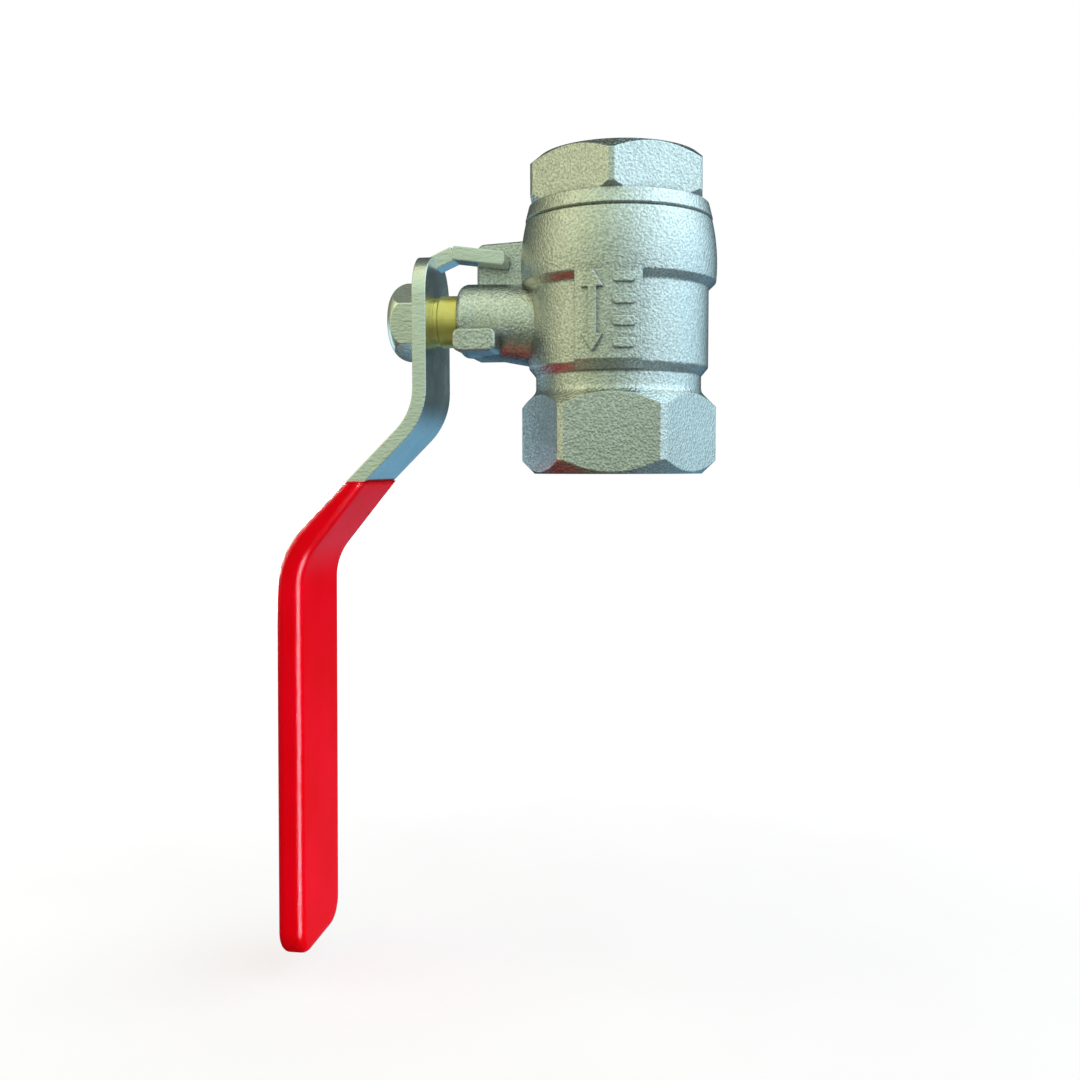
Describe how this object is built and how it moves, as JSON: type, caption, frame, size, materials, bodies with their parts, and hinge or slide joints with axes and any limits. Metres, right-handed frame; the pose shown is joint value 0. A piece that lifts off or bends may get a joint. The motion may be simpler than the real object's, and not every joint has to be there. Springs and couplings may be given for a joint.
{
  "type": "ball valve",
  "caption": "Two-piece ball valve with two female pipe threads, a quarter-turn cranked lever with a dipped grip, and hexagon ends.",
  "frame": {"origin": "centre of the ball, where the pipe's axis and the stem's axis cross", "axes": "+Z along the pipe towards the end cap, -X along the stem towards the lever and its nut, +Y the side that the grip swings to when the valve closes"},
  "size_m": [0.0644, 0.0292, 0.1178],
  "materials": {
    "nickel_plated_brass": "blasted and nickel plated, satin",
    "chrome_plated_ball": "hard chrome, polished",
    "ptfe": "PTFE, smooth",
    "brass": "turned brass",
    "nitrile": "matt black rubber",
    "zinc_plated_steel": "bright zinc plated",
    "red_dipped_vinyl": "glossy dipped PVC"
  },
  "bodies": {
    "housing": {"valve_body": "nickel_plated_brass", "end_cap": "nickel_plated_brass", "body_seat": "ptfe", "cap_seat": "ptfe", "thrust_washer": "ptfe"},
    "handle": {"stem": "brass", "stem_o_ring_inner": "nitrile", "stem_o_ring_outer": "nitrile", "lever": "zinc_plated_steel", "lever_grip": "red_dipped_vinyl", "lever_nut": "zinc_plated_steel"},
    "ball": {"ball": "chrome_plated_ball"}
  },
  "joints": [
    {"name": "lever_turn", "type": "hinge", "parent": "housing", "child": "handle", "pos_m": [0, 0, 0], "axis": [1, 0, 0], "range_deg": [0, 90]},
    {"name": "ball_turn", "type": "hinge", "parent": "housing", "child": "ball", "pos_m": [0, 0, 0], "axis": [1, 0, 0], "range_deg": [0, 90]}
  ],
  "couplings": [
    {"joint": "ball_turn", "follows": "lever_turn", "ratio": 1}
  ]
}
